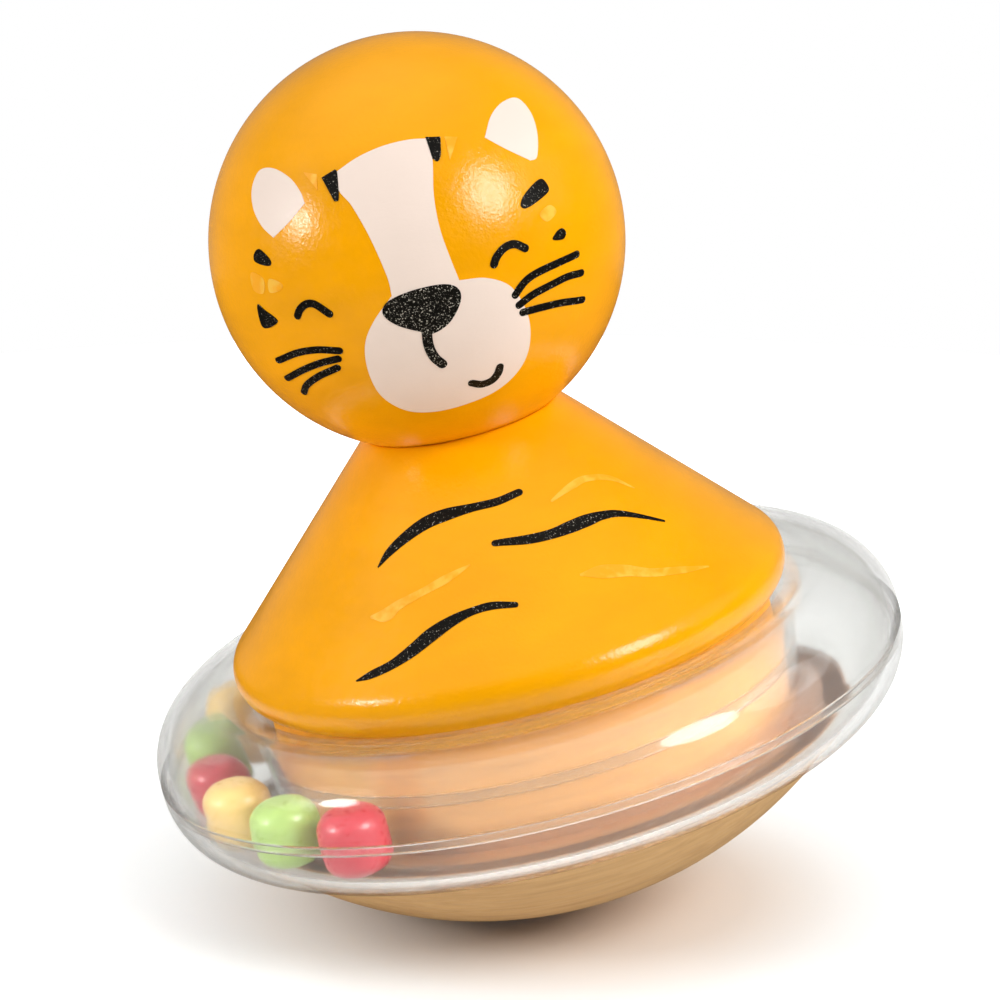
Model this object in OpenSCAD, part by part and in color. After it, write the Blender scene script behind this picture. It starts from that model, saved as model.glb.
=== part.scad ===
// Wooden roly-poly tiger: a ball head and a cone body on a weighted dome,
// with a clear ring of loose beads round its hub.
// Millimetres. The origin is the middle of the dome's small flat foot, +Z is up and -Y is the front.

/* [Head] */
// Diameter of the turned ball head
head_d = 50; // [40:0.5:64]
// Depth of the dowel hole in the head, from its flat
head_hole = 16; // [10:0.5:22]

/* [Body] */
// Diameter of the body at its widest
body_d = 69.6; // [56:0.2:84]
// Height of the body
body_h = 28.9; // [22:0.1:44]
// Radius of the body's rounded lower edge
body_edge = 3.7; // [1.5:0.1:6]
// Diameter of the flat neck that the head sits on
neck_d = 24; // [18:0.5:32]
// Width of neck left showing round the flat of the head
neck_margin = 0.2; // [0:0.1:1]

/* [Base] */
// Height of the dome, up to the ledge that carries the ring
dome_h = 16.7; // [12:0.1:24]
// Diameter of the hub inside the ring
hub_d = 63.2; // [52:0.2:76]
// Width of the ledge round the hub
ledge_w = 7.4; // [5:0.1:10]
// Diameter of the small flat under the dome, on which the toy comes to rest
foot_d = 14; // [6:0.5:20]
// Least wood between the ballast pocket and the dome's face
base_wall = 3; // [2:0.5:6]

/* [Ring] */
// Height of the clear ring
ring_h = 18.2; // [15:0.1:26]
// Thickness of the ring's wall
ring_wall = 1.5; // [1:0.1:2.5]
// Height of the straight weld band at the ring's rim
seam_band = 1.6; // [1:0.1:3]
// Radius of the ring's upper inner corner, under the body
ring_top_r = 6; // [3:0.1:6.8]
// Height of the lap where the two shells are welded
lap_h = 1.2; // [0.6:0.1:2]
// Thickness of the lap's tongue
lap_t = 0.7; // [0.4:0.05:0.9]

/* [Beads] */
// Diameter of a bead
bead_d = 8.2; // [6:0.1:11]
// Length of a bead along its axis
bead_h = 8.2; // [6:0.1:11]
// Radius of a bead's rounded edges
bead_edge = 2.5; // [0.5:0.1:2.8]
// Width that the channel has beyond one bead
bead_play = 4; // [2.4:0.1:6]

/* [Ballast] */
// Diameter of the steel ballast disc
ballast_d = 36; // [24:0.5:44]
// Thickness of the steel ballast disc
ballast_h = 10; // [5:0.5:14]

/* [Dowel] */
// Diameter of the dowel through the body
dowel_d = 10; // [6:0.5:14]
// Depth of the dowel hole in the plug
plug_hole = 12; // [6:0.5:14]
// Room left for glue at each end of the dowel
dowel_room = 1; // [0.5:0.1:3]

/* [Fits] */
// Gap round the dowel
dowel_fit = 0.05; // [0.02:0.01:0.2]
// Gap round the ballast and its plug
pocket_fit = 0.1; // [0.05:0.05:0.4]
// Gap between the hub and the ring
ring_fit = 0.2; // [0.1:0.05:0.5]
// Gap round the tongue of the ring's lap
lap_fit = 0.1; // [0.05:0.01:0.2]
// Gap between the body's edge and the ring
body_gap = 0.55; // [0.3:0.05:1.5]
// Gap between a bead and the channel that it runs in
bead_gap = 0.3; // [0.2:0.05:0.6]

/* [Hidden] */
$fn = 96;

// Beads as they lie, one column each: angle from the front towards the left
BEAD_ANGLES = [37.5, 53.5, 69, 84, 99.5, 115];
// Place across the channel, from its inner wall (0) to its outer wall (1)
BEAD_SHARES = [0.30, 0.42, 0.60, 0.60, 0.80, 0.88];
// Each bead's column
RED = 0;
GREEN = 1;
YELLOW = 2;
REAR = 3;

PAINT = [0.97, 0.64, 0.08];
WOOD = [0.84, 0.70, 0.50];
STEEL = [0.62, 0.63, 0.65];
CLEAR = [0.90, 0.92, 0.93, 0.30];
BEAD_COLOURS = [[0.90, 0.30, 0.34], [0.68, 0.84, 0.42], [0.96, 0.83, 0.48]];

// Hub and dome
hub_r = hub_d / 2;
ledge_r = hub_r + ledge_w;
foot_r = foot_d / 2;
// Height of the dome's centre, so that it passes through the foot's edge and the ledge's edge
dome_z = (ledge_r * ledge_r + dome_h * dome_h - foot_r * foot_r) / (2 * dome_h);
dome_r = sqrt(foot_r * foot_r + dome_z * dome_z);

// Ring section, from the hub outwards
ring_bore_r = hub_r + ring_fit;
channel_r = ring_bore_r + ring_wall;
ring_r = channel_r + bead_d + bead_play + ring_wall;
ring_top_z = dome_h + ring_h;
seam_z = dome_h + ring_h / 2;

// Radii of the ring section's corners: at the foot the same as the beads' edges
bead_round = min(bead_edge, bead_d / 2, bead_h / 2);
ring_foot_r = bead_round + ring_wall;
rim_round = min((ring_h - seam_band) / 2, ring_r - ring_bore_r - ring_foot_r);
top_round = min(ring_top_r, ring_r - ring_bore_r - rim_round);

// Centres of the ring section's corners
rim_low_c = [ring_r - rim_round, dome_h + rim_round];
rim_high_c = [ring_r - rim_round, ring_top_z - rim_round];
foot_c = [ring_bore_r + ring_foot_r, dome_h + ring_foot_r];
top_c = [ring_bore_r + top_round, ring_top_z - top_round];

// The body stands on the hub, which backs the ring's straight inner wall and is high enough for the
// body's rounded edge to clear the ring
body_r = body_d / 2;
neck_r = neck_d / 2;
edge_c = [body_r - body_edge, body_edge];
// Depth by which the body's flank runs into the rounded edge, so that the two join cleanly
flank_tuck = 0.002;
edge_reach = max(0, top_c[0] - edge_c[0]);
edge_span = body_edge + top_round + body_gap;
edge_rise = sqrt(max(0, edge_span * edge_span - edge_reach * edge_reach));
hub_top = top_c[1] + max(0, edge_rise - body_edge);
neck_z = hub_top + body_h;

// The head is cut flat where it meets the neck
head_r = head_d / 2;
head_flat_r = neck_r - neck_margin;
head_z = neck_z + sqrt(head_r * head_r - head_flat_r * head_flat_r);

// Pocket for the ballast, bored down from the hub's top and closed by the plug
pocket_r = ballast_d / 2 + pocket_fit;
pocket_z = dome_z - sqrt((dome_r - base_wall) * (dome_r - base_wall) - pocket_r * pocket_r);
plug_z = pocket_z + ballast_h;
dowel_hole_r = dowel_d / 2 + dowel_fit;

// Radius of the circle that a bead's middle runs on, for a place across the channel
function bead_orbit(across) =
    let (inner = channel_r + bead_gap + bead_d / 2,
         outer = ring_r - ring_wall - bead_gap - bead_d / 2)
        inner + across * (outer - inner);

// Height of a bead's middle when its outer lower edge stands on the floor, which bends up towards the rim
function bead_height(orbit) =
    let (bend = rim_round - ring_wall - bead_gap - bead_round,
         beyond = max(0, orbit + bead_d / 2 - bead_round - rim_low_c[0]))
        rim_low_c[1] - sqrt(bend * bend - beyond * beyond) + bead_h / 2 - bead_round;

// Direction, from a circle's centre c, of the point where a line from p touches its outer side
function touch_angle(p, c, r) =
    let (d = p - c) atan2(d[1], d[0]) - acos(r / norm(d));

function along(angle) = [cos(angle), sin(angle)];

// Slice of a disc about c, between two angles up to a right angle apart
module pie(c, r, from, to) {
    translate(c)
        intersection() {
            circle(r);
            polygon([[0, 0], 2 * r * along(from), 2 * r * along((from + to) / 2), 2 * r * along(to)]);
        }
}

// Half section of the ring, drawn in by an inset
module ring_section(inset) {
    polygon([
        [foot_c[0], dome_h + inset], [rim_low_c[0], dome_h + inset],
        [ring_r - inset, rim_low_c[1]], [ring_r - inset, rim_high_c[1]],
        [rim_high_c[0], ring_top_z - inset], [top_c[0], ring_top_z - inset],
        [ring_bore_r + inset, top_c[1]], [ring_bore_r + inset, foot_c[1]]
    ]);
    pie(rim_high_c, rim_round - inset, 0, 90);
    pie(top_c, top_round - inset, 90, 180);
    pie(foot_c, ring_foot_r - inset, 180, 270);
    pie(rim_low_c, rim_round - inset, 270, 360);
}

// The ring's wall between two insets
module ring_wall_section(outer, inner) {
    difference() {
        ring_section(outer);
        ring_section(inner);
    }
}

// Everything in the half section between two heights
module height_band(low, high) {
    translate([0, low]) square([ring_r + ring_h, high - low]);
}

// Tongue of the lap: the inner part of the wall, reaching down below the seam
module lap_section(fit) {
    intersection() {
        ring_wall_section(ring_wall - lap_t - fit, ring_wall);
        height_band(seam_z - lap_h - fit, seam_z);
    }
}

// Solid bead with rounded edges, standing at the origin
module bead_solid() {
    side = bead_d / 2 - bead_round;
    end = bead_h / 2 - bead_round;
    rotate_extrude()
        union() {
            translate([0, -bead_h / 2]) square([side, bead_h]);
            translate([0, -end]) square([bead_d / 2, 2 * end]);
            pie([side, end], bead_round, 0, 90);
            pie([side, -end], bead_round, 270, 360);
        }
}

// One bead where it lies in the ring
module bead(place, colour) {
    orbit = bead_orbit(BEAD_SHARES[place]);
    color(BEAD_COLOURS[colour])
        rotate([0, 0, -90 - BEAD_ANGLES[place]])
            translate([orbit, 0, bead_height(orbit)])
                bead_solid();
}

module head() {
    color(PAINT)
        rotate_extrude()
            difference() {
                intersection() {
                    translate([0, head_z]) circle(head_r);
                    translate([0, neck_z]) square([head_r, head_z + head_r - neck_z]);
                }
                translate([0, neck_z]) square([dowel_hole_r, head_hole]);
            }
}

module body_cone() {
    touch = touch_angle([neck_r, body_h], edge_c, body_edge);
    color(PAINT)
        translate([0, 0, hub_top])
            rotate_extrude()
                difference() {
                    union() {
                        polygon([
                            [0, 0], [edge_c[0], 0], edge_c + (body_edge - flank_tuck) * along(touch),
                            [neck_r, body_h], [0, body_h]
                        ]);
                        translate(edge_c) circle(body_edge);
                    }
                    square([dowel_hole_r, body_h]);
                }
}

module centre_dowel() {
    color(WOOD)
        translate([0, 0, hub_top - plug_hole + dowel_room])
            cylinder(h = plug_hole + body_h + head_hole - 2 * dowel_room, r = dowel_d / 2);
}

module base() {
    color(WOOD)
        rotate_extrude()
            difference() {
                union() {
                    intersection() {
                        translate([0, dome_z]) circle(dome_r);
                        square([ledge_r, dome_h]);
                    }
                    translate([0, dome_h]) square([hub_r, hub_top - dome_h]);
                }
                translate([0, pocket_z]) square([pocket_r, hub_top - pocket_z]);
            }
}

module ballast_weight() {
    color(STEEL)
        translate([0, 0, pocket_z])
            cylinder(h = ballast_h, r = ballast_d / 2);
}

module base_plug() {
    color(WOOD)
        rotate_extrude()
            difference() {
                translate([0, plug_z]) square([ballast_d / 2, hub_top - plug_z]);
                translate([0, hub_top - plug_hole]) square([dowel_hole_r, plug_hole]);
            }
}

module ring_upper_shell() {
    color(CLEAR)
        rotate_extrude()
            union() {
                intersection() {
                    ring_wall_section(0, ring_wall);
                    height_band(seam_z, ring_top_z);
                }
                lap_section(0);
            }
}

module ring_lower_shell() {
    color(CLEAR)
        rotate_extrude()
            difference() {
                intersection() {
                    ring_wall_section(0, ring_wall);
                    height_band(dome_h, seam_z);
                }
                lap_section(lap_fit);
            }
}

module red_bead_front() bead(RED, RED);
module green_bead_front() bead(GREEN, GREEN);
module yellow_bead_front() bead(YELLOW, YELLOW);
module red_bead_rear() bead(REAR + RED, RED);
module green_bead_rear() bead(REAR + GREEN, GREEN);
module yellow_bead_rear() bead(REAR + YELLOW, YELLOW);

head();
body_cone();
centre_dowel();
base();
ballast_weight();
base_plug();
ring_upper_shell();
ring_lower_shell();
red_bead_front();
green_bead_front();
yellow_bead_front();
red_bead_rear();
green_bead_rear();
yellow_bead_rear();
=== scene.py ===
"""Looks of a wooden roly-poly tiger with a clear ring of beads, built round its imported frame.

Lengths are in metres, and in the charts of the printed face and stripes in millimetres.
The toy stands upright at the origin, +Z is up and -Y is its front.
"""

from math import asin, atan2, ceil, cos, hypot, pi, radians, sin, tau

import bmesh
import bpy
from bpy.props import FloatProperty, FloatVectorProperty, IntProperty, PointerProperty
from mathutils import Matrix, Vector
from mathutils.geometry import delaunay_2d_cdt


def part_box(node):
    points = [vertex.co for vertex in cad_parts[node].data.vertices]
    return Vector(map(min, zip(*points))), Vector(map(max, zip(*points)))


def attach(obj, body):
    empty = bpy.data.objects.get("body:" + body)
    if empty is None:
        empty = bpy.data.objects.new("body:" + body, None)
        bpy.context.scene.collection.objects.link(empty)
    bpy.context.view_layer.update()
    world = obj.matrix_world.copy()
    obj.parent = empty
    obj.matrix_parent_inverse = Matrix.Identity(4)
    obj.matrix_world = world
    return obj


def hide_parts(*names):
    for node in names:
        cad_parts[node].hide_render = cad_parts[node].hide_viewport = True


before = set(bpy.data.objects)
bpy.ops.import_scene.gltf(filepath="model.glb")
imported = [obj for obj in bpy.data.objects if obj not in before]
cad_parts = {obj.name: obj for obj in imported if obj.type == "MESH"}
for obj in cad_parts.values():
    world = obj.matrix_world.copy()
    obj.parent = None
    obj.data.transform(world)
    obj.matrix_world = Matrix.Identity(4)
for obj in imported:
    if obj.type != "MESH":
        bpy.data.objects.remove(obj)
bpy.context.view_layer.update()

bl_info = {
    "name": "Roly-poly tiger",
    "version": (1, 0, 0),
    "blender": (4, 5, 0),
    "location": "View3D > Sidebar > Tiger",
    "description": "Builds the looks of a wooden roly-poly tiger round its packed frame",
    "category": "Object",
}

MM = 0.001
HEAD_LOW, HEAD_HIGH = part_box("head")
BODY_LOW, BODY_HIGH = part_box("body_cone")
BASE_LOW, BASE_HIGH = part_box("base")
RING_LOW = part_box("ring_lower_shell")[0]
RING_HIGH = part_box("ring_upper_shell")[1]
HEAD_RADIUS = (HEAD_HIGH.x - HEAD_LOW.x) / 2
HEAD_Z = HEAD_HIGH.z - HEAD_RADIUS


def linear(code):
    """The linear red, green and blue of a colour written as a hexadecimal sRGB code."""
    channels = [(code >> shift & 255) / 255 for shift in (16, 8, 0)]
    return tuple(c / 12.92 if c <= 0.04045 else ((c + 0.055) / 1.055) ** 2.4 for c in channels)


def length(name, description, default):
    """A length that a user may change."""
    return FloatProperty(
        name=name, description=description, default=default, min=0, precision=5, unit="LENGTH"
    )


def angle(name, description, degrees):
    """An angle that a user may change."""
    return FloatProperty(name=name, description=description, default=radians(degrees), subtype="ANGLE")


def power(name, description, default):
    """A lamp's power that a user may change."""
    return FloatProperty(name=name, description=description, default=default, unit="POWER")


def colour(name, description, code):
    """A colour that a user may change."""
    return FloatVectorProperty(
        name=name, description=description, default=linear(code), subtype="COLOR", min=0, max=1
    )


class ToySizes(bpy.types.PropertyGroup):
    """Sizes that the frame's boxes don't give."""

    facets: IntProperty(name="Facets", description="Facets round a turned piece", default=192, min=24)
    body_edge: length("Body edge", "Radius of the body's rounded lower edge", 0.0037)
    neck_radius: length("Neck", "Radius of the body's flat top under the head", 0.012)
    neck_edge: length("Neck edge", "Radius of the broken edge at the neck", 0.0004)
    hub_radius: length("Hub", "Radius of the base's hub inside the ring", 0.0316)
    ledge_height: length("Ledge", "Height of the base's ledge that carries the ring", RING_LOW.z)
    ledge_edge: length("Ledge edge", "Radius of the broken edge of the ledge", 0.0004)
    foot_radius: length("Foot", "Radius of the small flat under the dome", 0.007)
    ring_bore: length("Ring bore", "Radius of the ring's straight inner wall", 0.0318)
    ring_wall: length("Ring wall", "Thickness of the ring's wall", 0.0015)
    ring_foot: length("Ring foot", "Outer radius of the ring's lower inner bend", 0.004)
    ring_shoulder: length("Ring shoulder", "Outer radius of the ring's upper inner bend", 0.006)
    seam_band: length("Seam band", "Height of the straight band at the ring's rim", 0.0016)
    lap_height: length("Lap height", "Height of the tongue in the ring's welded lap", 0.0012)
    lap_thickness: length("Lap thickness", "Thickness of that tongue", 0.0007)
    lap_gap: length("Lap gap", "Gap round that tongue and at the seam", 0.0001)
    bead_edge: length("Bead edge", "Radius of a bead's rounded edges", 0.0025)
    ink_thickness: length("Ink", "Thickness of one coat of ink", 0.00004)
    ink_sink: length("Ink sink", "Depth to which a coat of ink is let into the paint", 0.00006)


class ToyColours(bpy.types.PropertyGroup):
    """Colours of the toy."""

    paint: colour("Paint", "Yellow-orange paint of head and body", 0xFAA900)
    wood: colour("Wood", "Bare wood", 0xDDB680)
    wood_grain: colour("Wood grain", "Darker lines in the bare wood", 0xCDA370)
    stain: colour("Stain", "Hub, stained by the paint", 0xE4A45C)
    # Orange-brown stain at the hub's foot, made darker with painted shade
    hub_foot_stain_and_shade: colour("Low stain", "Foot of the hub", 0xAC7446)
    stain_high: colour("High stain", "Painted top of the hub", 0xE0930F)
    plastic: colour("Plastic", "Tint of the clear ring", 0xFAFAF8)
    red: colour("Red bead", "Coral red beads", 0xBC2E3C)
    green: colour("Green bead", "Soft green beads", 0xA0BE66)
    yellow: colour("Yellow bead", "Pale yellow beads", 0xE8C272)
    white_ink: colour("White ink", "Ears, blaze and muzzle", 0xF3E0D3)
    black_ink: colour("Black ink", "Nose, eyes, mouth, whiskers and stripes", 0x15130F)
    # Pale gold, a painted sheen in place of the shine of metal ink
    gold_ink: colour("Gold ink", "Shiny strokes beside the stripes", 0xFBBF3C)
    steel: colour("Steel", "Ballast weight", 0x9A9C9E)


class StageSettings(bpy.types.PropertyGroup):
    """Camera and light of the photograph. The toy leans in the photograph, so the camera rolls instead."""

    distance: length("Distance", "Camera to the point it aims at", 0.45)
    elevation: angle("Elevation", "Camera above the toy's waist", 15.98)
    roll: angle("Roll", "Camera's roll, which shows the toy's lean", -13.9)
    lens: FloatProperty(
        name="Lens", description="Focal length on a 36 mm sensor", default=135.06, subtype="DISTANCE_CAMERA"
    )
    aim_across: length("Aim across", "Aim to the right of the head's middle, in the picture", 0.00994)
    aim_down: length("Aim down", "Aim below the head's middle, in the picture", 0.03107)
    key_power: power("Key", "Soft lamp at the right front", 2.4)
    fill_power: power("Fill", "Broad soft light at the left", 0.95)
    edge_power: power("Edge", "Broad soft light at the right", 1.5)
    glint_power: power("Glint", "Small soft lamp at the left", 1.0)
    sky: FloatProperty(name="Sky", description="Strength of the light from all round", default=0.64)


# Meshes

# Points of a turned piece that lie nearer than this are joined
MERGE_DISTANCE = 1e-6


def arc(centre, radius, start, end, step=radians(2)):
    """Points (radius, height) along an arc, from one angle to another, both ends included."""
    count = max(2, ceil(abs(end - start) / step))
    angles = [start + (end - start) * i / count for i in range(count + 1)]
    return [(centre[0] + radius * cos(a), centre[1] + radius * sin(a)) for a in angles]


def spaced(points, apart=1e-5):
    """The same points with any that repeat the one before left out."""
    kept = points[:1]
    for point in points[1:]:
        if hypot(point[0] - kept[-1][0], point[1] - kept[-1][1]) > apart:
            kept.append(point)
    return kept


def new_object(name, mesh, material=None):
    """An object for a mesh, linked to the scene."""
    piece = bpy.data.objects.new(name, mesh)
    bpy.context.scene.collection.objects.link(piece)
    if material:
        mesh.materials.append(material)
    return piece


def face_outward(mesh, sharp=radians(35)):
    """Turn a closed mesh's faces outward, shade it smooth and keep its real edges sharp."""
    work = bmesh.new()
    work.from_mesh(mesh)
    bmesh.ops.recalc_face_normals(work, faces=work.faces)
    for face in work.faces:
        face.smooth = True
    work.to_mesh(mesh)
    work.free()
    mesh.set_sharp_from_angle(angle=sharp)


def math_node(tree, operation, first, second=None):
    """A Math node fed by sockets or numbers."""
    node = tree.nodes.new("ShaderNodeMath")
    node.operation = operation
    for socket, value in zip(node.inputs, (first, second)):
        if isinstance(value, bpy.types.NodeSocket):
            tree.links.new(value, socket)
        elif value is not None:
            socket.default_value = value
    return node.outputs[0]


def turning_tree():
    """Geometry Nodes that turn a profile, drawn in the XZ plane, into a piece round the Z axis."""
    tree = bpy.data.node_groups.get("Turned piece")
    if tree:
        return tree
    tree = bpy.data.node_groups.new("Turned piece", "GeometryNodeTree")
    tree.interface.new_socket("Profile", in_out="INPUT", socket_type="NodeSocketGeometry")
    tree.interface.new_socket("Facets", in_out="INPUT", socket_type="NodeSocketInt")
    tree.interface.new_socket("Material", in_out="INPUT", socket_type="NodeSocketMaterial")
    tree.interface.new_socket("Geometry", in_out="OUTPUT", socket_type="NodeSocketGeometry")
    nodes, link = tree.nodes, tree.links.new
    given = nodes.new("NodeGroupInput").outputs
    count = nodes.new("GeometryNodeAttributeDomainSize")
    link(given["Profile"], count.inputs["Geometry"])
    rows = count.outputs["Point Count"]
    grid = nodes.new("GeometryNodeMeshGrid")
    link(math_node(tree, "ADD", given["Facets"], 1), grid.inputs["Vertices X"])
    link(rows, grid.inputs["Vertices Y"])
    index = nodes.new("GeometryNodeInputIndex").outputs[0]
    column = math_node(tree, "FLOOR", math_node(tree, "DIVIDE", index, rows))
    row = math_node(tree, "MODULO", index, rows)
    sample = nodes.new("GeometryNodeSampleIndex")
    sample.data_type = "FLOAT_VECTOR"
    link(given["Profile"], sample.inputs["Geometry"])
    link(nodes.new("GeometryNodeInputPosition").outputs[0], sample.inputs["Value"])
    link(row, sample.inputs["Index"])
    drawn = nodes.new("ShaderNodeSeparateXYZ")
    link(sample.outputs[0], drawn.inputs[0])
    bearing = math_node(tree, "MULTIPLY", math_node(tree, "DIVIDE", column, given["Facets"]), tau)
    radius = drawn.outputs["X"]
    spun = nodes.new("ShaderNodeCombineXYZ")
    link(math_node(tree, "MULTIPLY", radius, math_node(tree, "COSINE", bearing)), spun.inputs["X"])
    link(math_node(tree, "MULTIPLY", radius, math_node(tree, "SINE", bearing)), spun.inputs["Y"])
    link(drawn.outputs["Z"], spun.inputs["Z"])
    place = nodes.new("GeometryNodeSetPosition")
    link(grid.outputs["Mesh"], place.inputs["Geometry"])
    link(spun.outputs[0], place.inputs["Position"])
    close = nodes.new("GeometryNodeMergeByDistance")
    close.inputs["Distance"].default_value = MERGE_DISTANCE
    link(place.outputs[0], close.inputs["Geometry"])
    finish = nodes.new("GeometryNodeSetMaterial")
    link(close.outputs[0], finish.inputs["Geometry"])
    link(given["Material"], finish.inputs["Material"])
    link(finish.outputs[0], nodes.new("NodeGroupOutput").inputs[0])
    return tree


def turn_piece(name, profile, body, slot, stands_for, place=None):
    """Turn a piece from a profile of (radius, height) points and hand it to the frame."""
    tree = turning_tree()
    points = [(r, 0, z) for r, z in spaced(profile)]
    mesh = bpy.data.meshes.new(name + " profile")
    mesh.from_pydata(points, [(i, i + 1) for i in range(len(points) - 1)], [])
    piece = new_object(name, mesh)
    modifier = piece.modifiers.new("Turned piece", "NODES")
    modifier.node_group = tree
    inputs = {item.name: item.identifier for item in tree.interface.items_tree if item.in_out == "INPUT"}
    modifier[inputs["Facets"]] = bpy.context.scene.tiger_sizes.facets
    modifier[inputs["Material"]] = finish_of(slot)
    graph = bpy.context.evaluated_depsgraph_get()
    result = bpy.data.meshes.new_from_object(piece.evaluated_get(graph), depsgraph=graph)
    if not result.polygons:
        raise RuntimeError(f"the profile of {name} made no faces")
    piece.modifiers.clear()
    piece.data = result
    result.name = name
    bpy.data.meshes.remove(mesh)
    if place:
        result.transform(place)
    face_outward(result)
    settle(piece, body, slot, stands_for)


def settle(piece, body, slot, *nodes):
    """Hand a finished piece to the frame: attach it to its body and hide the CAD nodes it stands for; the
    slot given is not used.
    """
    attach(piece, body)
    if nodes:
        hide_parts(*nodes)


# Materials

# Sockets of a Mix node that is set to colours
MIX_FACTOR, MIX_FIRST, MIX_SECOND, MIX_RESULT = 0, 6, 7, 2


def node(tree, kind, links=None, settings=None, **values):
    """A shader node with its inputs set by name, and linked from the sockets given."""
    made = tree.nodes.new(kind)
    for key, value in (settings or {}).items():
        setattr(made, key, value)
    for key, value in values.items():
        made.inputs[key.replace("_", " ")].default_value = value
    for key, socket in (links or {}).items():
        tree.links.new(socket, made.inputs[key])
    return made


def new_material(name, **values):
    """A new material, its node tree and its Principled shader with inputs set by name."""
    material = bpy.data.materials.new(name)
    material.use_nodes = True
    shader = material.node_tree.nodes["Principled BSDF"]
    for key, value in values.items():
        shader.inputs[key.replace("_", " ")].default_value = value
    return material, material.node_tree, shader


def noise(tree, scale, stretch=(1, 1, 1), detail=3, roughness=0.5):
    """Noise over the object's own coordinates, finer along an axis with a larger stretch."""
    coords = node(tree, "ShaderNodeTexCoord").outputs["Object"]
    mapping = node(tree, "ShaderNodeMapping", {"Vector": coords}, Scale=stretch)
    links = {"Vector": mapping.outputs[0]}
    made = node(tree, "ShaderNodeTexNoise", links, Scale=scale, Detail=detail, Roughness=roughness)
    return made.outputs["Fac"]


def spread(tree, factor, low, high, start=0.35, end=0.65):
    """A number that runs from low to high as a factor runs from start to end."""
    limits = {"From_Min": start, "From_Max": end, "To_Min": low, "To_Max": high}
    return node(tree, "ShaderNodeMapRange", {"Value": factor}, **limits).outputs[0]


def tint(tree, factor, first, second):
    """A colour between two, by a factor. Each is a socket, or red, green and blue."""
    made = node(tree, "ShaderNodeMix", settings={"data_type": "RGBA"})
    tree.links.new(factor, made.inputs[MIX_FACTOR])
    for place, value in ((MIX_FIRST, first), (MIX_SECOND, second)):
        if isinstance(value, bpy.types.NodeSocket):
            tree.links.new(value, made.inputs[place])
        else:
            made.inputs[place].default_value = (*value, 1)
    return made.outputs[MIX_RESULT]


def mixed(tree, factor, first, second):
    """A shader between two, by a factor."""
    made = node(tree, "ShaderNodeMixShader")
    for place, socket in enumerate((factor, first.outputs[0], second.outputs[0])):
        tree.links.new(socket, made.inputs[place])
    return made


def feed(shader, **sockets):
    """Link sockets to a shader's inputs by name."""
    for key, socket in sockets.items():
        shader.id_data.links.new(socket, shader.inputs[key.replace("_", " ")])


def bump(tree, shader, height, distance, strength=1.0):
    """Roughen a shader's surface by a height."""
    made = node(tree, "ShaderNodeBump", {"Height": height}, Distance=distance, Strength=strength)
    tree.links.new(made.outputs[0], shader.inputs["Normal"])


def shade(base, factor):
    """A colour made darker or lighter."""
    return tuple(min(1, c * factor) for c in base)


def turned_height(tree):
    """Height of the fine level marks that turning and brushing leave in painted wood."""
    marks = noise(tree, 700, (0.5, 0.5, 3), detail=4, roughness=0.6)
    grain = noise(tree, 2200, (1, 1, 2), detail=2)
    return math_node(tree, "ADD", marks, math_node(tree, "MULTIPLY", grain, 0.5))


def painted_wood():
    """Satin yellow-orange paint, a little patchy and with a fine grain."""
    paint = tuple(bpy.context.scene.tiger_colours.paint)
    material, tree, shader = new_material("painted_wood", IOR=1.48, Specular_IOR_Level=0.42)
    patchy = spread(tree, noise(tree, 70, (1, 1, 2.5)), 0, 1)
    feed(
        shader,
        Base_Color=tint(tree, patchy, shade(paint, 0.93), shade(paint, 1.03)),
        Roughness=spread(tree, noise(tree, 900), 0.16, 0.25),
    )
    bump(tree, shader, noise(tree, 2000, detail=2, roughness=0.6), 0.00007, 0.6)
    return material


def bare_wood():
    """Pale bare wood with darker grain lines, a dull polish and stains on the hub; the stain at the hub's
    foot is darkened with painted shade.
    """
    colours = bpy.context.scene.tiger_colours
    material, tree, shader = new_material("bare_wood", IOR=1.45)
    lines = spread(tree, noise(tree, 60, (1, 9, 14), detail=6, roughness=0.6), 0, 1, 0.4, 0.7)
    coords = node(tree, "ShaderNodeTexCoord").outputs["Object"]
    height = node(tree, "ShaderNodeSeparateXYZ", {"Vector": coords}).outputs["Z"]
    ledge, top = RING_LOW.z, BASE_HIGH.z
    # Heights between which each stain sets in, its colour and how dark its grain is. The lowest, at the
    # hub's foot, is darkened with painted shade.
    stains = (
        (ledge - 0.0003, ledge - 0.0001, colours.hub_foot_stain_and_shade, 0.86),
        (ledge + 0.0015, ledge + 0.0045, colours.stain, 0.86),
        (top - 0.0037, top - 0.0033, colours.stain_high, 0.9),
    )
    wood = tint(tree, lines, colours.wood, colours.wood_grain)
    for low, high, stain, grain in stains:
        stained = tint(tree, lines, stain, shade(stain, grain))
        wood = tint(tree, spread(tree, height, 0, 1, low, high), wood, stained)
    polish = spread(tree, noise(tree, 300, (1, 6, 6)), 0.42, 0.58)
    feed(shader, Base_Color=wood, Roughness=polish)
    bump(tree, shader, noise(tree, 150, (1, 10, 16), detail=4), 0.00006, 0.4)
    return material


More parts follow.
